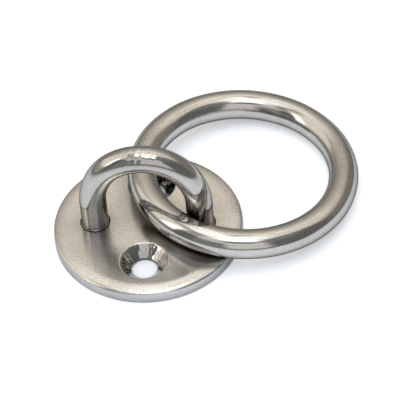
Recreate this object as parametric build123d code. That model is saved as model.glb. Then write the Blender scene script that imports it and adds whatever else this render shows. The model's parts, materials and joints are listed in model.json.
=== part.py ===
from build123d import *

import os
from math import asin, cos, degrees, radians, sin, sqrt, tan

# Round ring pad eye: a round plate with two countersunk screw holes, a round-rod eye and a loose ring.
# Millimetres; the origin is the middle of the plate's underside, X runs from leg to leg, Z is up.

# Round rod: the eye is bent from the thinner stock, the ring from the thicker.
eye_rod_dia = 6.0
ring_rod_dia = 6.6

# Round base plate, lying on z = 0, with its centre at the origin.
plate_dia = 42.0
plate_thick = 3.2
shoulder_wide = 3.0         # soft polished fall of the top face towards the rim
shoulder_high = 0.8
underside_break = 0.3       # small round along the lower edge of the rim

# Two countersunk screw holes, in front of and behind the eye.
screw_spacing = 23.0
screw_hole_dia = 5.8
countersink_dia = 10.6
countersink_angle = 90.0

# Eye: a rod bent into a tall arch, with its legs let into the plate.
eye_span = 23.5             # between the two leg centres
eye_straight = 9.8          # height where the legs start to bend, above the underside
eye_rise = 13.4             # from there to the middle of the rod at the crown
haunch_radius = 15.5        # bend of the sides, to the middle of the rod
leg_end = 0.5               # the cut ends stop this far above the underside
leg_hole_clearance = 0.05

# Welds, ground and polished.
plug_chamfer = 0.8          # weld preparation round each leg hole on the underside
bead_wide = 0.5             # thin bead round each foot on the top face
bead_high = 0.4
bead_fullness = 0.6         # 0.5 is a straight slope, more bulges outwards
ring_weld_long = 1.6        # butt weld that closes the ring
ring_weld_turn = 31.0       # its place on the ring, in degrees from the point inside the eye

# Loose ring, lying to the right and back with its far end on the ground.
ring_inside_dia = 38.4
ring_gap = 0.28             # between the ring and the leg it rests against
ring_rest_turn = 57.0       # direction from that leg to the ring's centre, in degrees
ring_rest_tilt = 5.0        # slope of the ring from the plate down to the ground

eye_rod_radius = eye_rod_dia / 2
ring_rod_radius = ring_rod_dia / 2
plate_radius = plate_dia / 2
leg_x = eye_span / 2
leg_hole_radius = eye_rod_radius + leg_hole_clearance
cut_past = 1.0              # how far a cut runs past the face it opens
screw_hole_radius = screw_hole_dia / 2
countersink_radius = countersink_dia / 2
ring_radius = ring_inside_dia / 2 + ring_rod_radius

# The ring's centre, and the direction in which it lies, seen from above.
leg_to_centre = ring_radius - ring_rod_radius - eye_rod_radius - ring_gap
ring_x = leg_x + leg_to_centre * cos(radians(ring_rest_turn))
ring_y = leg_to_centre * sin(radians(ring_rest_turn))
ring_reach = sqrt(ring_x**2 + ring_y**2)
lie_x = ring_x / ring_reach
lie_y = ring_y / ring_reach
tilt_sin = sin(radians(ring_rest_tilt))
tilt_cos = cos(radians(ring_rest_tilt))
ring_z = ring_rod_radius + ring_radius * tilt_sin

# The ring's own plane: x runs down its slope to the end on the ground, z stands square to it.
ring_plane = Plane(
    origin=(ring_x, ring_y, ring_z),
    x_dir=(lie_x * tilt_cos, lie_y * tilt_cos, -tilt_sin),
    z_dir=(lie_x * tilt_sin, lie_y * tilt_sin, tilt_cos),
)


def standing(radius, low, high):
    """Upright cylinder on the z axis between two heights."""
    return Pos(0, 0, low) * Cylinder(radius, high - low, align=(Align.CENTER, Align.CENTER, Align.MIN))


def frustum(low_radius, high_radius, low, high):
    """Upright cone frustum on the z axis between two heights."""
    cone = Cone(low_radius, high_radius, high - low, align=(Align.CENTER, Align.CENTER, Align.MIN))
    return Pos(0, 0, low) * cone


def plate_blank():
    """Disc with a vertical rim, a broken lower edge and a soft shoulder up to the flat top."""
    wall_top = plate_thick - shoulder_high
    flat_radius = plate_radius - shoulder_wide
    break_radius = plate_radius - underside_break
    bottom = Line((0, 0), (break_radius, 0))
    lower_edge = CenterArc((break_radius, underside_break), underside_break, -90, 90)
    wall = Line((plate_radius, underside_break), (plate_radius, wall_top))
    shoulder = EllipticalCenterArc((flat_radius, wall_top), shoulder_wide, shoulder_high, arc_size=90)
    top = Line((flat_radius, plate_thick), (0, plate_thick))
    axis_side = Line((0, plate_thick), (0, 0))
    outline = Wire([bottom, lower_edge, wall, shoulder, top, axis_side])
    return revolve(Plane.XZ * Face(outline), Axis.Z, 360)


def screw_hole():
    """Through hole with its countersink, as the volume to take out."""
    slope = 1 / tan(radians(countersink_angle / 2))
    sink_depth = (countersink_radius - screw_hole_radius) * slope
    hole = standing(screw_hole_radius, -cut_past, plate_thick + cut_past)
    sink = frustum(
        screw_hole_radius,
        countersink_radius + cut_past / slope,
        plate_thick - sink_depth,
        plate_thick + cut_past,
    )
    return hole + sink


def plug_cone():
    """Weld preparation at the underside of a leg hole."""
    return frustum(leg_hole_radius + plug_chamfer, leg_hole_radius, 0, plug_chamfer)


def base_plate():
    plate = plate_blank()
    for side in (-1, 1):
        plate -= Pos(0, side * screw_spacing / 2, 0) * screw_hole()
        plate -= Pos(side * leg_x, 0, 0) * standing(leg_hole_radius, -cut_past, plate_thick + cut_past)
        plate -= Pos(side * leg_x, 0, 0) * plug_cone()
    return plate


def arch_path():
    """Middle line of the eye's rod: a leg, two haunches on either side of a tighter crown, a leg."""
    side_offset = haunch_radius - leg_x
    rise_offset = haunch_radius - eye_rise
    centre_step = (side_offset**2 + rise_offset**2) / (2 * rise_offset)
    crown_half_angle = degrees(asin(side_offset / centre_step))
    haunch_angle = 90 - crown_half_angle
    crown_radius = haunch_radius - centre_step
    crown_centre_z = eye_straight + eye_rise - crown_radius
    left_leg = Line((-leg_x, leg_end), (-leg_x, eye_straight))
    left_haunch = CenterArc((side_offset, eye_straight), haunch_radius, 180, -haunch_angle)
    crown = CenterArc((0, crown_centre_z), crown_radius, 90 + crown_half_angle, -2 * crown_half_angle)
    right_haunch = CenterArc((-side_offset, eye_straight), haunch_radius, haunch_angle, -haunch_angle)
    right_leg = Line((leg_x, eye_straight), (leg_x, leg_end))
    return Plane.XZ * Wire([left_leg, left_haunch, crown, right_haunch, right_leg])


def eye_bow():
    path = arch_path()
    section = Plane(origin=path @ 0, z_dir=path % 0) * Circle(eye_rod_radius)
    return sweep(section, path=path)


def foot_bead():
    """Thin convex bead between a leg and the top of the plate."""
    inside = Line((eye_rod_radius, plate_thick + bead_high), (eye_rod_radius, plate_thick))
    bottom = Line(inside @ 1, (eye_rod_radius + bead_wide, plate_thick))
    middle = (eye_rod_radius + bead_wide * bead_fullness, plate_thick + bead_high * bead_fullness)
    outside = ThreePointArc(bottom @ 1, middle, inside @ 0)
    return revolve(Plane.XZ * Face(Wire([inside, bottom, outside])), Axis.Z, 360)


def weld_plug():
    """Weld under a leg, ground level with the underside."""
    return plug_cone() - standing(eye_rod_radius, leg_end, plate_thick)


def ring_arc(start, turn):
    """Stretch of the ring's rod, from a start angle in the ring's own plane."""
    section = Plane.XZ * Pos(ring_radius, 0, 0) * Circle(ring_rod_radius)
    return ring_plane * Rot(0, 0, start) * revolve(section, Axis.Z, turn)


weld_angle = degrees(ring_weld_long / ring_radius)
weld_start = 180 - ring_weld_turn - weld_angle / 2

parts = {
    "base_plate": base_plate(),
    "eye_bow": eye_bow(),
    "ring_rod": ring_arc(weld_start + weld_angle, 360 - weld_angle),
    "ring_weld": ring_arc(weld_start, weld_angle),
}
for side, name in ((-1, "left"), (1, "right")):
    parts[f"foot_bead_{name}"] = Pos(side * leg_x, 0, 0) * foot_bead()
    parts[f"weld_plug_{name}"] = Pos(side * leg_x, 0, 0) * weld_plug()

os.makedirs("parts", exist_ok=True)
for node, shape in parts.items():
    export_step(shape, f"parts/{node}.step")
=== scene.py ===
import json
import math

import bpy
from mathutils import Matrix, Vector, noise


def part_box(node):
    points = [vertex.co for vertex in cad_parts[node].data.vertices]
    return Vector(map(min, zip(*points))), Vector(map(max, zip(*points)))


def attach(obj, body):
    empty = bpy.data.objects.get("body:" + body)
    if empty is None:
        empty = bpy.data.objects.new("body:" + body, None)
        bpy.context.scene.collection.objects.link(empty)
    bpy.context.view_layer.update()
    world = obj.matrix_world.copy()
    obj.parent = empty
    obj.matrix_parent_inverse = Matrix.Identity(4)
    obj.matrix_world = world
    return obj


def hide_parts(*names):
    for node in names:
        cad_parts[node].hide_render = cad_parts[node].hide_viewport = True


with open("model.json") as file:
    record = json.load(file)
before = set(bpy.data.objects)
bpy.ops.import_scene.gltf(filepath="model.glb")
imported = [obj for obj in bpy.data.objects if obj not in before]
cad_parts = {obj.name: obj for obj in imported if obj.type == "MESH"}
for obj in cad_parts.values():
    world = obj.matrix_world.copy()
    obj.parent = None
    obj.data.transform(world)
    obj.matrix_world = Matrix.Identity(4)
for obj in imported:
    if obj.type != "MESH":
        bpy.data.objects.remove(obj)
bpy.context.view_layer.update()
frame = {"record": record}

mm = 0.001
mounts = {mount["name"]: mount for mount in frame["record"]["mounts"]}
plateLow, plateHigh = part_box("base_plate")
eyeLow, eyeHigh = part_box("eye_bow")

plateRadius = (plateHigh.x - plateLow.x) / 2
plateTop = plateHigh.z
rodRadius = (eyeHigh.y - eyeLow.y) / 2      # of the eye; the ring has its own
legX = eyeHigh.x - rodRadius
screwY = mounts["screw_holes"]["dims"]["spacing_y_mm"] * mm / 2
screwHoleRadius = mounts["screw_holes"]["dims"]["hole_r_mm"] * mm
print("frame loaded")


# a smooth piece; edges that bend more than sharpAngle degrees stay sharp
def smoothMesh(name, verts, faces, uvs, sharpAngle):
    mesh = bpy.data.meshes.new(name)
    mesh.from_pydata([tuple(v) for v in verts], [], faces)
    layer = mesh.uv_layers.new(name="place")
    for polygon, corners in zip(mesh.polygons, uvs):
        for loop, uv in zip(polygon.loop_indices, corners):
            layer.data[loop].uv = uv
    mesh.polygons.foreach_set("use_smooth", [True] * len(mesh.polygons))
    if sharpAngle:
        mesh.set_sharp_from_angle(angle=math.radians(sharpAngle))
    mesh.update()
    piece = bpy.data.objects.new(name, mesh)
    bpy.context.scene.collection.objects.link(piece)
    return piece


# turns a profile of (radius, height) points round an upright axis; wobble changes a point's radius
def lathe(name, profile, segments, centre=(0, 0), wobble=None, sharpAngle=35):
    verts, rows, lengths, run = [], [], [], 0.0
    for i, (radius, height) in enumerate(profile):
        if i:
            run += math.dist(profile[i - 1], profile[i])
        lengths.append(run)
        if radius == 0.0:
            rows.append([len(verts)])
            verts.append((centre[0], centre[1], height))
            continue
        row = []
        for k in range(segments):
            angle = 2 * math.pi * k / segments
            r = radius if wobble is None else wobble(radius, height, angle)
            row.append(len(verts))
            verts.append((centre[0] + r * math.cos(angle), centre[1] + r * math.sin(angle), height))
        rows.append(row)
    faces, uvs = [], []
    turn = 2 * math.pi / segments
    for i in range(len(rows) - 1):
        low, high = rows[i], rows[i + 1]
        v0, v1 = lengths[i], lengths[i + 1]
        wide = max(profile[i][0], profile[i + 1][0])
        for k in range(segments):
            n = (k + 1) % segments
            u0, u1 = k * turn * wide, (k + 1) * turn * wide
            if len(low) > 1 and len(high) > 1:
                faces.append((low[k], low[n], high[n], high[k]))
                uvs.append([(u0, v0), (u1, v0), (u1, v1), (u0, v1)])
            elif len(high) > 1:
                faces.append((low[0], high[n], high[k]))
                uvs.append([(u0, v0), (u1, v1), (u0, v1)])
            elif len(low) > 1:
                faces.append((low[k], low[n], high[0]))
                uvs.append([(u0, v0), (u1, v0), (u0, v1)])
    return smoothMesh(name, verts, faces, uvs, sharpAngle)


# sweeps a round rod along stations, each a point with a side vector and an up vector
def sweepRod(name, stations, sides, radius, radiusAt, sharpAngle=50):
    verts, lengths, run = [], [], 0.0
    for i, (centre, across, up) in enumerate(stations):
        if i:
            run += (centre - stations[i - 1][0]).length
        lengths.append(run)
        for k in range(sides):
            angle = 2 * math.pi * k / sides
            direction = across * math.cos(angle) + up * math.sin(angle)
            verts.append(centre + direction * radiusAt(run, angle, centre))
    faces, uvs = [], []
    for i in range(len(stations) - 1):
        here, there = i * sides, (i + 1) * sides
        u0, u1 = lengths[i], lengths[i + 1]
        for k in range(sides):
            n = (k + 1) % sides
            faces.append((here + k, here + n, there + n, there + k))
            v0, v1 = [2 * math.pi * radius * j / sides for j in (k, k + 1)]
            uvs.append([(u0, v0), (u0, v1), (u1, v1), (u1, v0)])
    # the two cut ends
    last = (len(stations) - 1) * sides
    faces.append(tuple(reversed(range(sides))))
    faces.append(tuple(range(last, last + sides)))
    uvs += [[(0.0, 0.0)] * sides] * 2
    return smoothMesh(name, verts, faces, uvs, sharpAngle)


# points along an arc or ellipse, angles in degrees
def arcPoints(centre, radius, startAngle, endAngle, count):
    points = []
    for i in range(count + 1):
        angle = math.radians(startAngle + (endAngle - startAngle) * i / count)
        points.append((centre[0] + radius[0] * math.cos(angle), centre[1] + radius[1] * math.sin(angle)))
    return points


def cutAway(piece, cutters):
    for cutter in cutters:
        modifier = piece.modifiers.new(cutter.name, "BOOLEAN")
        modifier.operation = "DIFFERENCE"
        modifier.solver = "EXACT"
        modifier.object = cutter
    evaluated = piece.evaluated_get(bpy.context.evaluated_depsgraph_get())
    mesh = bpy.data.meshes.new_from_object(evaluated)
    piece.modifiers.clear()
    piece.data = mesh
    for cutter in cutters:
        bpy.data.objects.remove(cutter)


plateShape = {
    "shoulderWide": 3.0 * mm,     # soft fall of the top towards the rim
    "shoulderHigh": 0.8 * mm,
    "underEdge": 0.3 * mm,        # round along the lower edge of the rim
    "wallBarrel": 0.04 * mm,      # the rim stands out this much at mid height
    "sinkRadius": 5.3 * mm,       # countersink at the top face
    "sinkSlope": 1.0,             # its depth over its width, so 90 degrees in all
    "sinkLip": 0.22 * mm,         # soft lip round it
    "lipSpread": 2.1,             # the lip's width over its depth
    "chatterDeep": 0.035 * mm,    # tool marks left in the cone
    "chatterWaves": (13, 29),     # broad and fine marks in one turn
    "chatterTwist": (5, 3),       # radians they lean over the height of the cone
    "chatterFine": 0.5,           # depth of the fine ones over the broad ones
    "holeBreak": 0.2 * mm,        # broken lower edge of a screw hole
    "legGap": 0.05 * mm,          # play between a leg and its hole
    "weldPrep": 0.8 * mm,         # chamfer under a leg hole
    "grooveWide": 0.32 * mm,      # shadow gap round each foot
    "grooveDeep": 0.34 * mm,
    "grooveOutline": ((0.6, 1.0), (0.9, 0.4), (1.2, 0.0)),      # widths and depths, from the bottom up
    "cutPast": 1.0 * mm,          # how far a cutter runs past the faces
    "segments": 256,
    "sinkSegments": 192,
    "legSegments": 96,
}


def plateProfile(s):
    wallTop = plateTop - s["shoulderHigh"]
    flat = plateRadius - s["shoulderWide"]
    edge = s["underEdge"]
    edgeSteps, wallSteps, shoulderSteps = 6, 8, 40
    points = [(0.0, 0.0)]
    # rows across the underside, and later the top, stand on whole millimetres
    points += [(r * mm, 0.0) for r in range(2, 20, 3)]
    points += arcPoints((plateRadius - edge, edge), (edge, edge), -90, 0, edgeSteps)
    for i in range(1, wallSteps):
        share = i / wallSteps
        height = edge + (wallTop - edge) * share
        points.append((plateRadius + s["wallBarrel"] * math.sin(math.pi * share), height))
    points += arcPoints((flat, wallTop), (s["shoulderWide"], s["shoulderHigh"]), 0, 90, shoulderSteps)
    points += [(r * mm, plateTop) for r in range(17, 0, -1)]
    points.append((0.0, plateTop))
    return points


def screwCutter(side, s):
    lip, past, hole = s["sinkLip"], s["cutPast"], screwHoleRadius
    land = plateTop - (s["sinkRadius"] - hole) * s["sinkSlope"]      # the cone starts here
    coneRadius, coneTop = s["sinkRadius"] - lip, plateTop - lip
    coneSteps, lipSteps = 10, 6
    points = [(0.0, -past), (hole + s["holeBreak"] + past, -past)]
    points += [(hole + s["holeBreak"], 0.0), (hole, s["holeBreak"])]
    for i in range(coneSteps + 1):
        share = i / coneSteps
        points.append((hole + (coneRadius - hole) * share, land + (coneTop - land) * share))
    # the lip turns from the cone's slope to level
    for i in range(1, lipSteps + 1):
        share = i / lipSteps
        angle = math.radians(45 * (1 - share))
        height = plateTop - lip * (1 - share) ** 2 * math.cos(angle) ** 0.5
        points.append((coneRadius + lip * s["lipSpread"] * share, height))
    points += [(points[-1][0] + lip, plateTop + past), (0.0, plateTop + past)]
    broad, fine = s["chatterWaves"]
    broadTwist, fineTwist = s["chatterTwist"]

    # the marks lean two ways and die away at both ends of the cone
    def chatter(radius, height, angle):
        if not land < height < plateTop - 0.5 * lip:
            return radius
        share = (height - land) / (plateTop - land)
        wave = math.sin(broad * angle + broadTwist * share + side)
        wave += s["chatterFine"] * math.sin(fine * angle - fineTwist * share)
        return radius + s["chatterDeep"] * wave * min(1.0, 3 * share, 6 * (1 - share))

    return lathe("screwCutter", points, s["sinkSegments"], (0.0, side * screwY), chatter, None)


def legCutter(side, s):
    past, under = s["cutPast"], s["weldPrep"]
    bore = rodRadius + s["legGap"]
    points = [(0.0, -past), (bore + under + past, -past), (bore + under, 0.0), (bore, under)]
    # the gap round the foot opens towards the top
    points.append((bore, plateTop - s["grooveDeep"]))
    for wide, deep in s["grooveOutline"]:
        points.append((rodRadius + wide * s["grooveWide"], plateTop - deep * s["grooveDeep"]))
    points += [(points[-1][0], plateTop + past), (0.0, plateTop + past)]
    return lathe("legCutter", points, s["legSegments"], (side * legX, 0.0), None, None)


plate = lathe("plateDisc", plateProfile(plateShape), plateShape["segments"], sharpAngle=None)
cutters = [screwCutter(side, plateShape) for side in (-1, 1)]
cutters += [legCutter(side, plateShape) for side in (-1, 1)]
cutAway(plate, cutters)
print("base plate made")


eyeShape = {
    "straight": 9.8 * mm,         # height where the legs start to bend
    "rise": 13.4 * mm,            # from there to the middle of the rod at the crown
    "haunchRadius": 15.5 * mm,
    "squash": 0.012,              # the bend flattens the rod slightly
    "squashReach": 6 * mm,        # and takes this height to come in
    "rippleDeep": 0.075 * mm,     # marks of the bending tool on the crown
    "rippleLong": 1.3 * mm,
    "rippleReach": 4.6 * mm,      # how far they go to either side
    "rippleFrom": 0.7,            # share of the rise below which there are none
    "rippleLean": 0.35,           # radians they lean towards the front
    "rippleTwist": (1.7, 3),      # how the uneven and the even ones change round the rod
    "rippleEven": 0.4,            # share of even ripples
    "rippleSeed": 4.3,            # another number, another pattern
    "dentDeep": 0.012 * mm,       # faint dents all over
    "dentScale": 190,             # along the rod, for each metre
    "dentRound": 0.8,             # round the rod
    "sides": 96,
}


# two straight legs, two haunches and a tighter crown
def archStations(s):
    sideOffset = s["haunchRadius"] - legX
    riseOffset = s["haunchRadius"] - s["rise"]
    step = (sideOffset ** 2 + riseOffset ** 2) / (2 * riseOffset)
    half = math.degrees(math.asin(sideOffset / step))
    crownRadius = s["haunchRadius"] - step
    crownZ = s["straight"] + s["rise"] - crownRadius
    legSteps, haunchSteps, crownSteps = 16, 24, 120
    line = [(-legX, eyeLow.z + (s["straight"] - eyeLow.z) * i / legSteps) for i in range(legSteps)]
    haunch = arcPoints((sideOffset, s["straight"]), (s["haunchRadius"],) * 2, 180, 90 + half, haunchSteps)
    line += haunch[:-1]
    line += arcPoints((0.0, crownZ), (crownRadius,) * 2, 90 + half, 90 - half, crownSteps)
    line += [(-x, z) for x, z in reversed(line[:legSteps + haunchSteps])]
    stations = []
    for i, (x, z) in enumerate(line):
        before, after = line[max(i - 1, 0)], line[min(i + 1, len(line) - 1)]
        along = Vector((after[0] - before[0], 0, after[1] - before[1])).normalized()
        outward = Vector((-along.z, 0, along.x))
        stations.append((Vector((x, 0, z)), Vector((0, 1, 0)), outward))
    return stations


def eyeRadius(run, angle, centre):
    s = eyeShape
    bend = min(1.0, max(0.0, (centre.z - s["straight"]) / s["squashReach"]))
    radius = rodRadius * (1 - s["squash"] * bend * math.sin(angle) ** 2)
    if centre.z > s["straight"] + s["rippleFrom"] * s["rise"]:
        # they lie on the outside of the crown and fade out both ways
        window = max(0.0, 1 - (centre.x / s["rippleReach"]) ** 2) ** 2
        facing = max(0.0, math.sin(angle - s["rippleLean"])) ** 2
        uneven, even = s["rippleTwist"]
        wave = noise.noise(Vector((centre.x / s["rippleLong"], angle * uneven, s["rippleSeed"])))
        wave += s["rippleEven"] * math.sin(2 * math.pi * centre.x / s["rippleLong"] + even * angle)
        radius += s["rippleDeep"] * window * facing * wave
    along, around = s["dentScale"], s["dentRound"]
    spot = Vector((centre.x * along, math.cos(angle) * around, math.sin(angle) * around + centre.z * along))
    return radius + s["dentDeep"] * noise.noise(spot)


eye = sweepRod("eyeRod", archStations(eyeShape), eyeShape["sides"], rodRadius, eyeRadius)


footShape = {
    "wide": 0.12 * mm,
    "high": 0.22 * mm,
    "deep": 0.3 * mm,             # how far it goes down into the gap
    "bite": 0.02 * mm,            # how far it bites into the leg
    "edge": 1.3,                  # its edge on the leg, as a share of its height
    "middle": 0.25,               # its widest place, as a share of its height
    "backTurn": 150,              # degrees that its back turns through, from the top
    "full": 0.8,                  # less than 1 makes the back fuller
    "segments": 96,
}


def footBead(name, side, s):
    inner, outer = rodRadius - s["bite"], rodRadius + s["bite"]
    middle = plateTop + s["high"] * s["middle"]
    steps = 10
    points = [(inner, plateTop + s["high"] * s["edge"])]
    # a rounded back, from its top to a little below its widest place
    for i in range(steps + 1):
        angle = math.radians(90 - s["backTurn"] * i / steps)
        radius = outer + s["wide"] * max(0.0, math.cos(angle)) ** s["full"]
        points.append((radius, middle + s["high"] * (1 - s["middle"]) * math.sin(angle)))
    points.append((inner, plateTop - s["deep"]))
    points.append(points[0])
    return lathe(name, points, s["segments"], (side * legX, 0.0))


feet = [footBead("footBeadLeft", -1, footShape), footBead("footBeadRight", 1, footShape)]
print("eye and feet made")


plugShape = {
    "radius": 3.85 * mm,
    "crown": 0.03 * mm,           # the ground face stands out this much in its middle
    "ragged": 0.12 * mm,          # uneven edge of the weld
    "raggedScale": 2.2,
    "raggedSeed": 7.0,            # the two plugs use it with opposite signs
    "raggedFrom": 2 * mm,         # only outside this radius
    "raggedBelow": 0.1 * mm,      # and below this height
    "bite": 0.02 * mm,            # how far it bites into the leg
    "segments": 96,
}


def weldPlug(name, side, s):
    def ragged(radius, height, angle):
        if height > s["raggedBelow"] or radius < s["raggedFrom"]:
            return radius
        scale = s["raggedScale"]
        spot = Vector((scale * math.cos(angle), scale * math.sin(angle), s["raggedSeed"] * side))
        return radius + s["ragged"] * noise.noise(spot)

    points = [(0.0, 0.0)]
    points += [(s["radius"] * share, s["crown"] * share ** 2) for share in (0.3, 0.6, 0.85, 1.0)]
    points += [(rodRadius + s["bite"], plateShape["weldPrep"]), (rodRadius - s["bite"], eyeLow.z)]
    points.append((0.0, eyeLow.z))
    return lathe(name, points, s["segments"], (side * legX, 0.0), ragged)


plugs = [weldPlug("weldPlugLeft", -1, plugShape), weldPlug("weldPlugRight", 1, plugShape)]
print("weld plugs made")


ringShape = {
    "insideRadius": 19.2 * mm,
    "rodRadius": 3.3 * mm,        # thicker stock than the eye
    "weldLong": 1.6 * mm,
    "weldTurn": 31.0,             # degrees from the point inside the eye
    "weldProud": 0.05 * mm,
    "seamDeep": 0.03 * mm,        # fine groove on either side of the weld
    "seamWide": 0.18 * mm,
    "waveDeep": 0.045 * mm,       # hand polishing leaves the rod slightly uneven
    "waveLong": 7.0 * mm,
    "waveRound": 0.55,            # how fast that changes round the rod
    "waveEnd": 2 * mm,            # it dies away towards the weld
    "sides": 96,
    "steps": 420,
    "weldSteps": 16,
}
ringCentre = Vector(mounts["ring_grip"]["pos_m"])
ringNormal = Vector(mounts["ring_grip"]["axis"]).normalized()
ringOut = Vector((ringNormal.x, ringNormal.y, 0)).normalized()
ringOut = (ringOut - ringNormal * ringOut.dot(ringNormal)).normalized()
ringSide = ringNormal.cross(ringOut)
ringRadius = ringShape["insideRadius"] + ringShape["rodRadius"]
weldAngle = ringShape["weldLong"] / ringRadius
weldStart = math.pi - math.radians(ringShape["weldTurn"]) - weldAngle / 2
restAngle = 2 * math.pi - weldAngle         # all of the ring but the weld
ringLength = restAngle * ringRadius


def ringStations(start, turn, steps):
    stations = []
    for i in range(steps + 1):
        angle = start + turn * i / steps
        outward = ringOut * math.cos(angle) + ringSide * math.sin(angle)
        stations.append((ringCentre + outward * ringRadius, ringNormal, -outward))
    return stations


def ringRodRadius(run, angle, centre):
    s = ringShape
    around = Vector((math.cos(angle), math.sin(angle), 0)) * s["waveRound"]
    wave = noise.noise((centre - ringCentre) / s["waveLong"] + around)
    end = min(run, ringLength - run)
    seam = s["seamDeep"] * math.exp(-(end / s["seamWide"]) ** 2)
    return s["rodRadius"] + s["waveDeep"] * wave * min(1.0, end / s["waveEnd"]) - seam


def ringWeldRadius(run, angle, centre):
    s = ringShape
    share = run / s["weldLong"]
    swell = math.sin(math.pi * share)
    return s["rodRadius"] + s["weldProud"] * swell - s["seamDeep"] * (1 - swell)


rodStations = ringStations(weldStart + weldAngle, restAngle, ringShape["steps"])
weldStations = ringStations(weldStart, weldAngle, ringShape["weldSteps"])
ring = sweepRod("ringRod", rodStations, ringShape["sides"], ringShape["rodRadius"], ringRodRadius)
ringWeld = sweepRod("ringWeld", weldStations, ringShape["sides"], ringShape["rodRadius"], ringWeldRadius)
print("ring made")


def newGroup(name, inputs, outputs):
    group = bpy.data.node_groups.new(name, "ShaderNodeTree")
    for label, kind, default in inputs:
        socket = group.interface.new_socket(name=label, in_out="INPUT", socket_type=kind)
        if default is not None:
            socket.default_value = default
    for label, kind in outputs:
        group.interface.new_socket(name=label, in_out="OUTPUT", socket_type=kind)
    return group, group.nodes.new("NodeGroupInput"), group.nodes.new("NodeGroupOutput")


def addNode(tree, kind, **settings):
    node = tree.nodes.new(kind)
    for key, value in settings.items():
        setattr(node, key, value)
    return node


# the values may be numbers or other nodes' outputs
def mathNode(tree, operation, first, second=None, third=None):
    node = addNode(tree, "ShaderNodeMath", operation=operation)
    for socket, value in zip(node.inputs, (first, second, third)):
        if value is None:
            continue
        if isinstance(value, (int, float)):
            socket.default_value = value
        else:
            tree.links.new(value, socket)
    return node.outputs[0]


def rangeNode(tree, value, low, high, toLow, toHigh):
    node = addNode(tree, "ShaderNodeMapRange")
    tree.links.new(value, node.inputs["Value"])
    for label, number in (("From Min", low), ("From Max", high), ("To Min", toLow), ("To Max", toHigh)):
        if isinstance(number, (int, float)):
            node.inputs[label].default_value = number
        else:
            tree.links.new(number, node.inputs[label])
    return node.outputs["Result"]


def mixNode(tree, factor, first, second):
    node = addNode(tree, "ShaderNodeMix", data_type="RGBA")
    tree.links.new(factor, node.inputs["Factor"])
    for label, value in (("A", first), ("B", second)):
        if isinstance(value, tuple):
            node.inputs[label].default_value = (*value, 1)
        else:
            tree.links.new(value, node.inputs[label])
    return node.outputs["Result"]


# noise drawn out into lines that run one way; turn is in radians
def stretched(tree, place, stretch, turn):
    node = addNode(tree, "ShaderNodeMapping")
    tree.links.new(place, node.inputs["Vector"])
    node.inputs["Rotation"].default_value = (0, 0, turn)
    node.inputs["Scale"].default_value = (stretch, 1, 1)
    return node.outputs["Vector"]


def noiseNode(tree, place, scale, detail, rough=0.55):
    node = addNode(tree, "ShaderNodeTexNoise")
    tree.links.new(place, node.inputs["Vector"])
    node.inputs["Scale"].default_value = scale
    node.inputs["Detail"].default_value = detail
    node.inputs["Roughness"].default_value = rough
    return node.outputs["Fac"]


# soft unevenness that hand polishing leaves, and patches that are duller; scales are for each metre
buffedLook = {
    "broad": 220,
    "fine": 1600,
    "fineShare": 0.25,
    "patches": 95,
    "clouds": 62,
    "grain": 3800,
    "grainShare": 0.28,
}


def makeBuffedGroup(look):
    group, start, end = newGroup("buffedSurface", [
        ("Place", "NodeSocketVector", None),
        ("Amount", "NodeSocketFloat", 1.0),
    ], [
        ("Height", "NodeSocketFloat"),
        ("Dull", "NodeSocketFloat"),
        ("Shade", "NodeSocketFloat"),
        ("Grain", "NodeSocketFloat"),
    ])
    place = start.outputs["Place"]
    broad = noiseNode(group, place, look["broad"], 2.0)
    fine = noiseNode(group, place, look["fine"], 3.0)
    patches = noiseNode(group, place, look["patches"], 4.0, 0.6)
    clouds = noiseNode(group, place, look["clouds"], 4.0, 0.6)
    grain = noiseNode(group, place, look["grain"], 2.0, 0.6)
    height = mathNode(group, "MULTIPLY_ADD", fine, look["fineShare"], broad)
    height = mathNode(group, "MULTIPLY_ADD", grain, look["grainShare"], height)
    group.links.new(rangeNode(group, grain, 0.38, 0.62, 0.0, 1.0), end.inputs["Grain"])
    group.links.new(mathNode(group, "MULTIPLY", height, start.outputs["Amount"]), end.inputs["Height"])
    group.links.new(rangeNode(group, patches, 0.35, 0.7, 0.0, 1.0), end.inputs["Dull"])
    group.links.new(rangeNode(group, clouds, 0.3, 0.7, 0.0, 1.0), end.inputs["Shade"])
    return group


# hair-fine scratches in three directions
scratchLook = {
    "runs": ((0.1, 2600), (1.25, 3400), (2.3, 3000)),     # direction in radians, and scale
    "stretch": 0.03,
    "least": 0.72,                # noise above this is a scratch at density 0
    "spread": 0.12,               # and this much below it at density 1
    "full": 0.8,                  # a scratch is full from here
}


def makeScratchGroup(look):
    group, start, end = newGroup("fineScratches", [
        ("Place", "NodeSocketVector", None),
        ("Density", "NodeSocketFloat", 0.5),
    ], [
        ("Height", "NodeSocketFloat"),
        ("Mask", "NodeSocketFloat"),
    ])
    total = None
    for turn, scale in look["runs"]:
        along = stretched(group, start.outputs["Place"], look["stretch"], turn)
        value = noiseNode(group, along, scale, 2.0, 0.5)
        edge = mathNode(group, "MULTIPLY_ADD", start.outputs["Density"], -look["spread"], look["least"])
        line = rangeNode(group, value, edge, look["full"], 0.0, 1.0)
        total = line if total is None else mathNode(group, "MAXIMUM", total, line)
    group.links.new(total, end.inputs["Mask"])
    group.links.new(mathNode(group, "MULTIPLY", total, -1.0), end.inputs["Height"])
    return group


# long draw lines that run with the rod or round a turned face
drawLook = {
    "fine": 2600,
    "fineStretch": 0.03,
    "wide": 700,
    "wideStretch": 0.04,
    "wideShare": 0.8,
}


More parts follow.
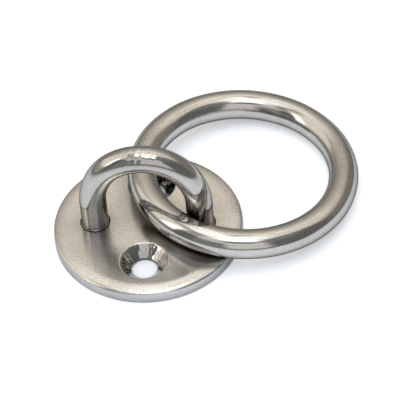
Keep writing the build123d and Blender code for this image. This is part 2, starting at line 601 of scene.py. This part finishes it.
def makeLinesGroup(look):
    group, start, end = newGroup("drawLines", [
        ("Place", "NodeSocketVector", None),
        ("Depth", "NodeSocketFloat", 1.0),
    ], [
        ("Height", "NodeSocketFloat"),
        ("Mask", "NodeSocketFloat"),
    ])
    place = start.outputs["Place"]
    lines = noiseNode(group, stretched(group, place, look["fineStretch"], 0.0), look["fine"], 4.0, 0.65)
    wide = noiseNode(group, stretched(group, place, look["wideStretch"], 0.0), look["wide"], 2.0, 0.5)
    both = mathNode(group, "MULTIPLY_ADD", wide, look["wideShare"], lines)
    group.links.new(mathNode(group, "MULTIPLY", both, start.outputs["Depth"]), end.inputs["Height"])
    group.links.new(rangeNode(group, lines, 0.4, 0.65, 0.0, 1.0), end.inputs["Mask"])
    return group


buffedGroup = makeBuffedGroup(buffedLook)
scratchGroup = makeScratchGroup(scratchLook)
linesGroup = makeLinesGroup(drawLook)
print("shader groups made")


# what all the steel finishes share
steelLook = {
    "scratchFade": -0.25,         # a scratch is darker
    "scratchDull": 0.35,          # and duller
    "dullest": 1.5,               # dull patches, scratches and lines add up to this at full roughness
    # painted shade in corners and under other parts: the colour it darkens to, how open a place must be to
    # escape it, and the samples that find it
    "paintedShadeColour": (0.03, 0.027, 0.023),
    "paintedShadeOpen": (0.15, 0.95),   # full shade and none, by how open the place is
    "paintedShadeSamples": 8,
}


def steelFinish(name, look):
    material = bpy.data.materials.new(name)
    material.use_nodes = True
    tree = material.node_tree
    tree.nodes.clear()
    output = addNode(tree, "ShaderNodeOutputMaterial")
    shader = addNode(tree, "ShaderNodeBsdfPrincipled")
    tree.links.new(shader.outputs["BSDF"], output.inputs["Surface"])
    solidPlace = addNode(tree, "ShaderNodeTexCoord").outputs["Object"]
    rodPlace = addNode(tree, "ShaderNodeUVMap", uv_map="place").outputs["UV"]
    scratchPlace = solidPlace if look["scratchesOnSolid"] else rodPlace

    def place(group, where, setting, value):
        node = addNode(tree, "ShaderNodeGroup", node_tree=group)
        tree.links.new(where, node.inputs["Place"])
        node.inputs[setting].default_value = value
        return node.outputs

    buffed = place(buffedGroup, solidPlace, "Amount", 1.0)
    scratches = place(scratchGroup, scratchPlace, "Density", look["scratches"])
    lines = place(linesGroup, rodPlace, "Depth", 1.0)

    tone = mathNode(tree, "MULTIPLY", buffed["Grain"], look["grain"])
    tone = mathNode(tree, "MULTIPLY_ADD", buffed["Shade"], 1 - look["grain"], tone)
    tone = mathNode(tree, "MULTIPLY_ADD", scratches["Mask"], steelLook["scratchFade"], tone)
    colour = mixNode(tree, tone, look["dark"], look["light"])
    # painted shade: the base colour darkens towards near-black where ambient occlusion finds the place
    # closed in, in corners, in hollows and under other parts
    corner = addNode(tree, "ShaderNodeAmbientOcclusion", samples=steelLook["paintedShadeSamples"])
    corner.inputs["Distance"].default_value = look["paintedShadeReach"]
    paintedShade = rangeNode(tree, corner.outputs["AO"], *steelLook["paintedShadeOpen"], look["paintedShadeDark"], 0.0)
    colour = mixNode(tree, paintedShade, colour, steelLook["paintedShadeColour"])
    tree.links.new(colour, shader.inputs["Base Color"])

    dull = mathNode(tree, "MULTIPLY_ADD", scratches["Mask"], steelLook["scratchDull"], buffed["Dull"])
    dull = mathNode(tree, "MULTIPLY_ADD", lines["Mask"], look["lineDull"], dull)
    roughness = rangeNode(tree, dull, 0.0, steelLook["dullest"], *look["roughness"])
    tree.links.new(roughness, shader.inputs["Roughness"])
    shader.inputs["Metallic"].default_value = 1.0
    shader.inputs["Specular Tint"].default_value = (*[look["edge"]] * 3, 1)

    # three bumps, each with its real depth in metres
    normal = None
    for outputs, depth in ((buffed, "buffDeep"), (scratches, "scratchDeep"), (lines, "lineDeep")):
        bump = addNode(tree, "ShaderNodeBump")
        bump.inputs["Distance"].default_value = look[depth]
        tree.links.new(outputs["Height"], bump.inputs["Height"])
        if normal:
            tree.links.new(normal, bump.inputs["Normal"])
        normal = bump.outputs["Normal"]
    tree.links.new(normal, shader.inputs["Normal"])
    return material


satinLook = {
    "dark": (0.471, 0.462, 0.446),
    "light": (0.881, 0.864, 0.834),
    "grain": 0.5,                 # share of fine grain in the tone; the rest is broad clouds
    "edge": 0.85,                 # brightness of grazing reflections
    "roughness": (0.19, 0.29),
    "paintedShadeReach": 5.0 * mm,      # how far the shade comes out of a corner
    "paintedShadeDark": 0.7,
    "scratches": 0.5,
    "scratchesOnSolid": True,     # laid through the solid, or else along the rod
    "buffDeep": 0.014 * mm,
    "scratchDeep": 0.0010 * mm,
    "lineDeep": 0.0 * mm,
    "lineDull": 0.0,
}
brightLook = {
    "dark": (0.441, 0.432, 0.417),
    "light": (0.738, 0.724, 0.698),
    "grain": 0.45,
    "edge": 0.3,
    "roughness": (0.07, 0.15),
    "paintedShadeReach": 2.5 * mm,
    "paintedShadeDark": 0.5,
    "scratches": 0.35,
    "scratchesOnSolid": False,
    "buffDeep": 0.006 * mm,
    "scratchDeep": 0.0012 * mm,
    "lineDeep": 0.0006 * mm,
    "lineDull": 0.25,
}
sinkLook = {
    "dark": (0.41, 0.402, 0.388),
    "light": (0.943, 0.925, 0.892),
    "grain": 0.4,
    "edge": 0.85,
    "roughness": (0.04, 0.11),
    # painted shade reaches furthest here and goes fully dark, so the countersink under the ring turns black
    "paintedShadeReach": 9.0 * mm,
    "paintedShadeDark": 1.0,
    "scratches": 0.2,
    "scratchesOnSolid": True,
    "buffDeep": 0.004 * mm,
    "scratchDeep": 0.0008 * mm,
    "lineDeep": 0.0012 * mm,
    "lineDull": 0.4,
}
rimLook = {
    "dark": (0.476, 0.471, 0.463),
    "light": (0.769, 0.762, 0.749),
    "grain": 0.5,
    "edge": 0.7,
    "roughness": (0.14, 0.24),
    "paintedShadeReach": 1.5 * mm,
    "paintedShadeDark": 0.2,
    "scratches": 0.4,
    "scratchesOnSolid": True,
    "buffDeep": 0.006 * mm,
    "scratchDeep": 0.001 * mm,
    "lineDeep": 0.0008 * mm,
    "lineDull": 0.2,
}
groundLook = {
    "dark": (0.46, 0.45, 0.43),
    "light": (0.56, 0.55, 0.53),
    "grain": 0.5,
    "edge": 0.8,
    "roughness": (0.34, 0.5),
    "paintedShadeReach": 1.5 * mm,
    "paintedShadeDark": 0.3,
    "scratches": 0.9,
    "scratchesOnSolid": True,
    "buffDeep": 0.008 * mm,
    "scratchDeep": 0.004 * mm,
    "lineDeep": 0.002 * mm,
    "lineDull": 0.5,
}
# painted shade: a near-black finish laid in the gap round each foot stands in for the shadow in that groove
creviceShadeLook = {
    "dark": (0.05, 0.048, 0.045),
    "light": (0.16, 0.155, 0.145),
    "grain": 0.5,
    "edge": 0.5,
    "roughness": (0.4, 0.6),
    "paintedShadeReach": 1.0 * mm,
    "paintedShadeDark": 0.5,
    "scratches": 0.3,
    "scratchesOnSolid": True,
    "buffDeep": 0.012 * mm,
    "scratchDeep": 0.001 * mm,
    "lineDeep": 0.001 * mm,
    "lineDull": 0.3,
}
weldLook = {
    "dark": (0.492, 0.482, 0.466),
    "light": (0.635, 0.623, 0.601),
    "grain": 0.5,
    "edge": 0.7,
    "roughness": (0.18, 0.3),
    "paintedShadeReach": 1.5 * mm,
    "paintedShadeDark": 0.5,
    "scratches": 0.6,
    "scratchesOnSolid": True,
    "buffDeep": 0.012 * mm,
    "scratchDeep": 0.002 * mm,
    "lineDeep": 0.001 * mm,
    "lineDull": 0.3,
}
satin = steelFinish("satinPlate", satinLook)
bright = steelFinish("brightRod", brightLook)
sink = steelFinish("turnedCountersink", sinkLook)
rim = steelFinish("polishedRim", rimLook)
ground = steelFinish("groundUnderside", groundLook)
creviceShade = steelFinish("paintedCreviceShade", creviceShadeLook)
weld = steelFinish("dressedWeld", weldLook)

# where each finish starts on the plate
plateFaces = {
    "nearFace": 0.02 * mm,        # within this of the top or the underside
    "creviceShade": 1.25,              # out to this many gap widths from a leg
    "sinkInside": 0.3,            # the countersink stops this share of its lip inside the edge
    "steep": 0.98,                # upright part of the normal, less than this in the countersink
    "rimDeep": 0.06 * mm,         # the rim's finish comes in this far
    "level": 0.99995,             # faces flatter than this are shaded flat
    "sharpAngle": 28,
}
plateFinishes = [satin, sink, rim, ground, creviceShade]


def finishOf(polygon, s):
    x, y, z = polygon.center
    toScrew = math.hypot(x, abs(y) - screwY)
    toLeg = math.hypot(abs(x) - legX, y)
    footReach = rodRadius + plateShape["grooveWide"] * s["creviceShade"]
    sinkReach = plateShape["sinkRadius"] - s["sinkInside"] * plateShape["sinkLip"]
    # painted shade in the gap round each foot
    if toLeg < footReach and z < plateTop - s["nearFace"]:
        return creviceShade
    if z < s["nearFace"]:
        return ground
    if toScrew < sinkReach and abs(polygon.normal.z) < s["steep"]:
        return sink
    if math.hypot(x, y) > plateRadius - s["rimDeep"]:
        return rim
    return satin


for material in plateFinishes:
    plate.data.materials.append(material)
for polygon in plate.data.polygons:
    polygon.material_index = plateFinishes.index(finishOf(polygon, plateFaces))
for piece, material in ((eye, bright), (ring, bright), (ringWeld, weld)):
    piece.data.materials.append(material)
for piece in feet:
    piece.data.materials.append(weld)
for piece in plugs:
    piece.data.materials.append(ground)
curved = [abs(polygon.normal.z) < plateFaces["level"] for polygon in plate.data.polygons]
plate.data.polygons.foreach_set("use_smooth", curved)
plate.data.set_sharp_from_angle(angle=math.radians(plateFaces["sharpAngle"]))
print("finishes applied")


for piece, node, slot in (
        (plate, "base_plate", "plate_steel"), (eye, "eye_bow", "rod_steel"),
        (feet[0], "foot_bead_left", "weld_steel"), (feet[1], "foot_bead_right", "weld_steel"),
        (plugs[0], "weld_plug_left", "weld_steel"), (plugs[1], "weld_plug_right", "weld_steel")):
    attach(piece, "base")
    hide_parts(node)
for piece, node in ((ring, "ring_rod"), (ringWeld, "ring_weld")):
    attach(piece, "ring")
    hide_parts(node)
print("pieces placed on their bodies")


floorLook = {
    "size": 3.0,
    "drop": 0.02 * mm,            # it lies this far under the plate
    "sheetColour": (0.86, 0.90, 0.955),
    "tableColour": (0.24, 0.24, 0.24),
    "sheetEdge": (0.05, 0.35),    # the pale sheet fades into the table between these distances
    "roughness": 0.7,
    "gloss": 0.1,
    "lift": 0.36,                 # extra brightness the camera alone sees
    "holeLift": 0.4,              # share of it under the front hole; the rear hole stays dark
}


def makeFloor(look):
    half = look["size"] / 2
    corners = [(-half, -half, 0), (half, -half, 0), (half, half, 0), (-half, half, 0)]
    mesh = bpy.data.meshes.new("floor")
    mesh.from_pydata(corners, [], [(0, 1, 2, 3)])
    floor = bpy.data.objects.new("floor", mesh)
    floor.location.z = -look["drop"]
    bpy.context.scene.collection.objects.link(floor)
    material = bpy.data.materials.new("paleFloor")
    material.use_nodes = True
    tree = material.node_tree
    shader = tree.nodes["Principled BSDF"]
    shader.inputs["Roughness"].default_value = look["roughness"]
    shader.inputs["Specular IOR Level"].default_value = look["gloss"]
    shader.inputs["Emission Color"].default_value = (1, 1, 1, 1)
    path = addNode(tree, "ShaderNodeLightPath")
    place = addNode(tree, "ShaderNodeTexCoord").outputs["Object"]
    length = addNode(tree, "ShaderNodeVectorMath", operation="LENGTH")
    tree.links.new(place, length.inputs[0])
    distance = length.outputs["Value"]
    split = addNode(tree, "ShaderNodeSeparateXYZ")
    tree.links.new(place, split.inputs["Vector"])
    # painted light: the camera-only glow covers the floor beyond the plate fully and the floor under the
    # plate's front half at a share, so the floor seen through the front hole looks lit and through the rear
    # hole stays in shade
    inOpen = mathNode(tree, "GREATER_THAN", distance, plateRadius)
    inFront = mathNode(tree, "LESS_THAN", split.outputs["Y"], 0.0)
    inFront = mathNode(tree, "MULTIPLY", inFront, look["holeLift"])
    inOpen = mathNode(tree, "MAXIMUM", inOpen, inFront)
    lift = mathNode(tree, "MULTIPLY", path.outputs["Is Camera Ray"], look["lift"])
    tree.links.new(mathNode(tree, "MULTIPLY", lift, inOpen), shader.inputs["Emission Strength"])
    fade = rangeNode(tree, distance, *look["sheetEdge"], 0.0, 1.0)
    colour = mixNode(tree, fade, look["sheetColour"], look["tableColour"])
    tree.links.new(colour, shader.inputs["Base Color"])
    mesh.materials.append(material)


fillLook = {
    "height": 0.9,
    "size": 1.6,
    "brightness": 0.58,
    "tint": (0.93, 0.98, 1.08),
}


# a broad lamp overhead that brightens the floor and stays out of the steel's reflections
def makeFill(look):
    light = bpy.data.lights.new("floorFill", "AREA")
    light.size = look["size"]
    light.energy = look["brightness"] * math.pi * look["size"] ** 2
    light.color = look["tint"]
    lamp = bpy.data.objects.new("floorFill", light)
    lamp.location = (0, 0, look["height"])
    lamp.visible_camera = False
    lamp.visible_glossy = False
    bpy.context.scene.collection.objects.link(lamp)


makeFloor(floorLook)
makeFill(fillLook)


# one soft-edged patch painted over the studio's colour; angles in degrees
def makePatchGroup():
    group, start, end = newGroup("studioPatch", [
        ("Below", "NodeSocketColor", None),
        ("Azimuth", "NodeSocketFloat", 0.0),
        ("Elevation", "NodeSocketFloat", 0.0),
        ("Middle Azimuth", "NodeSocketFloat", 0.0),
        ("Middle Elevation", "NodeSocketFloat", 0.0),
        ("Half Width", "NodeSocketFloat", 10.0),
        ("Half Height", "NodeSocketFloat", 10.0),
        ("Soft", "NodeSocketFloat", 0.3),
        ("Colour", "NodeSocketColor", None),
        ("Strength", "NodeSocketFloat", 1.0),
    ], [
        ("Colour", "NodeSocketColor"),
    ])
    inside = start.outputs
    across = mathNode(group, "SUBTRACT", inside["Azimuth"], inside["Middle Azimuth"])
    across = mathNode(group, "ABSOLUTE", mathNode(group, "WRAP", across, 180.0, -180.0))
    across = mathNode(group, "DIVIDE", across, inside["Half Width"])
    over = mathNode(group, "SUBTRACT", inside["Elevation"], inside["Middle Elevation"])
    over = mathNode(group, "ABSOLUTE", over)
    over = mathNode(group, "DIVIDE", over, inside["Half Height"])
    outer = mathNode(group, "ADD", 1.0, inside["Soft"])
    inner = mathNode(group, "SUBTRACT", 1.0, inside["Soft"])
    mask = None
    for distance in (across, over):
        edge = addNode(group, "ShaderNodeMapRange", interpolation_type="SMOOTHSTEP")
        group.links.new(distance, edge.inputs["Value"])
        group.links.new(inner, edge.inputs["From Min"])
        group.links.new(outer, edge.inputs["From Max"])
        edge.inputs["To Min"].default_value = 1.0
        edge.inputs["To Max"].default_value = 0.0
        within = edge.outputs["Result"]
        mask = within if mask is None else mathNode(group, "MULTIPLY", mask, within)
    mask = mathNode(group, "MULTIPLY", mask, inside["Strength"])
    colour = mixNode(group, mask, inside["Below"], inside["Colour"])
    group.links.new(colour, end.inputs["Colour"])
    return group


warm, mild, plain = (1.10, 1.01, 0.88), (1.02, 1.0, 0.96), (0.99, 1.0, 1.01)
studioLook = {
    "seenColour": (0.97, 0.975, 0.985),      # what the camera sees behind the floor
    # brightness of the walls and ceiling by height in degrees
    "heights": (
        (0, 0.24), (12, 0.34), (24, 0.42), (34, 0.52), (44, 0.66),
        (52, 0.92), (60, 1.1), (70, 1.2), (77, 1.6), (90, 1.75),
    ),
    "warmBelow": 65,
    # azimuth from +Y towards +X, elevation, half width, half height, soft edge, brightness, tint, strength
    "patches": (
        (60, 15, 34, 20, 0.35, 0.24, warm, 0.9),        # right wall, low
        (60, 60, 26, 14, 0.4, 0.88, warm, 0.8),         # right wall, high
        (120, 28, 34, 34, 0.3, 0.17, plain, 1.0),       # dark front right
        (120, 55, 26, 12, 0.4, 0.26, plain, 0.9),       # its upper part
        (171, 28, 21, 20, 0.35, 0.78, mild, 1.0),       # front, below the camera
        (172, 46, 24, 7, 0.4, 0.82, plain, 1.0),        # front, round the camera
        (176, 55, 21, 6, 0.35, 0.2, plain, 1.0),        # dark above the camera
        (172, 71, 32, 9, 0.25, 2.3, plain, 1.0),        # front lamp, high
        (-152, 22, 18, 18, 0.35, 0.26, plain, 1.0),     # dark front left
        (-150, 50, 18, 11, 0.4, 0.74, mild, 0.9),       # brighter above it
        (-130, 24, 10, 22, 0.3, 0.17, plain, 1.0),      # dark strip beside the bright panel
        (-84, 38, 24, 24, 0.25, 0.98, warm, 1.0),       # broad left window
        (-84, 9, 26, 8, 0.5, 0.4, warm, 0.8),           # wall below it
        (-113, 36, 7, 17, 0.25, 1.9, plain, 1.0),       # narrow bright panel
        (-100, 66, 38, 4, 0.5, 0.42, warm, 0.95),       # dark gap above the left window
        (-128, 59, 11, 9, 0.4, 0.36, mild, 0.9),        # dark corner at its end
        (-8, 70, 6, 12, 0.35, 1.65, mild, 1.0),         # bright column behind
        (7, 71, 7, 9, 0.35, 0.7, warm, 1.0),            # dark gap beside it
    ),
}


def tinted(brightness, tint):
    return (*[brightness * part for part in tint], 1)


def makeStudio(look):
    world = bpy.data.worlds.new("studio")
    bpy.context.scene.world = world
    world.use_nodes = True
    tree = world.node_tree
    tree.nodes.clear()
    direction = addNode(tree, "ShaderNodeTexCoord").outputs["Generated"]
    split = addNode(tree, "ShaderNodeSeparateXYZ")
    tree.links.new(direction, split.inputs["Vector"])
    x, y, z = split.outputs
    inDegrees = 180 / math.pi
    azimuth = mathNode(tree, "MULTIPLY", mathNode(tree, "ARCTAN2", x, y), inDegrees)
    elevation = mathNode(tree, "MULTIPLY", mathNode(tree, "ARCSINE", z), inDegrees)
    ramp = addNode(tree, "ShaderNodeValToRGB")
    tree.links.new(mathNode(tree, "DIVIDE", elevation, 90.0), ramp.inputs["Fac"])
    stops = ramp.color_ramp.elements
    while len(stops) < len(look["heights"]):
        stops.new(0.5)
    for stop, (height, brightness) in zip(stops, look["heights"]):
        stop.position = height / 90
        stop.color = tinted(brightness, warm if height < look["warmBelow"] else mild)
    colour = ramp.outputs["Color"]
    patchGroup = makePatchGroup()
    for patch in look["patches"]:
        node = addNode(tree, "ShaderNodeGroup", node_tree=patchGroup)
        tree.links.new(colour, node.inputs["Below"])
        tree.links.new(azimuth, node.inputs["Azimuth"])
        tree.links.new(elevation, node.inputs["Elevation"])
        labels = ("Middle Azimuth", "Middle Elevation", "Half Width", "Half Height", "Soft")
        for label, value in zip(labels, patch):
            node.inputs[label].default_value = value
        brightness, tint, strength = patch[5:]
        node.inputs["Colour"].default_value = tinted(brightness, tint)
        node.inputs["Strength"].default_value = strength
        colour = node.outputs["Colour"]
    studio = addNode(tree, "ShaderNodeBackground")
    tree.links.new(colour, studio.inputs["Color"])
    seen = addNode(tree, "ShaderNodeBackground")
    seen.inputs["Color"].default_value = (*look["seenColour"], 1)
    path = addNode(tree, "ShaderNodeLightPath")
    mix = addNode(tree, "ShaderNodeMixShader")
    tree.links.new(path.outputs["Is Camera Ray"], mix.inputs["Fac"])
    tree.links.new(studio.outputs["Background"], mix.inputs[1])
    tree.links.new(seen.outputs["Background"], mix.inputs[2])
    output = addNode(tree, "ShaderNodeOutputWorld")
    tree.links.new(mix.outputs["Shader"], output.inputs["Surface"])


makeStudio(studioLook)
print("floor and light made")


cameraLook = {
    "lens": 270.0,
    "sensor": 36,
    "distance": 672.9 * mm,
    "target": (10.71 * mm, 9.73 * mm, 0.0),
    "azimuth": 0.1326,            # radians, as are the next two
    "elevation": 0.8166,
    "roll": 0.0873,
}


def makeCamera(look):
    a, e, roll = look["azimuth"], look["elevation"], look["roll"]
    back = Vector((math.sin(a) * math.cos(e), -math.cos(a) * math.cos(e), math.sin(e)))
    right = (-back).cross(Vector((0, 0, 1))).normalized()
    up = right.cross(-back)
    tiltedRight = right * math.cos(roll) - up * math.sin(roll)
    tiltedUp = right * math.sin(roll) + up * math.cos(roll)
    data = bpy.data.cameras.new("camera")
    data.lens = look["lens"]
    data.sensor_width = look["sensor"]
    camera = bpy.data.objects.new("camera", data)
    matrix = Matrix((tiltedRight, tiltedUp, back)).transposed().to_4x4()
    matrix.translation = Vector(look["target"]) + back * look["distance"]
    camera.matrix_world = matrix
    bpy.context.scene.collection.objects.link(camera)
    bpy.context.scene.camera = camera


makeCamera(cameraLook)
bpy.context.scene.view_settings.view_transform = "Standard"
bpy.context.scene.cycles.use_denoising = True
print("camera made")
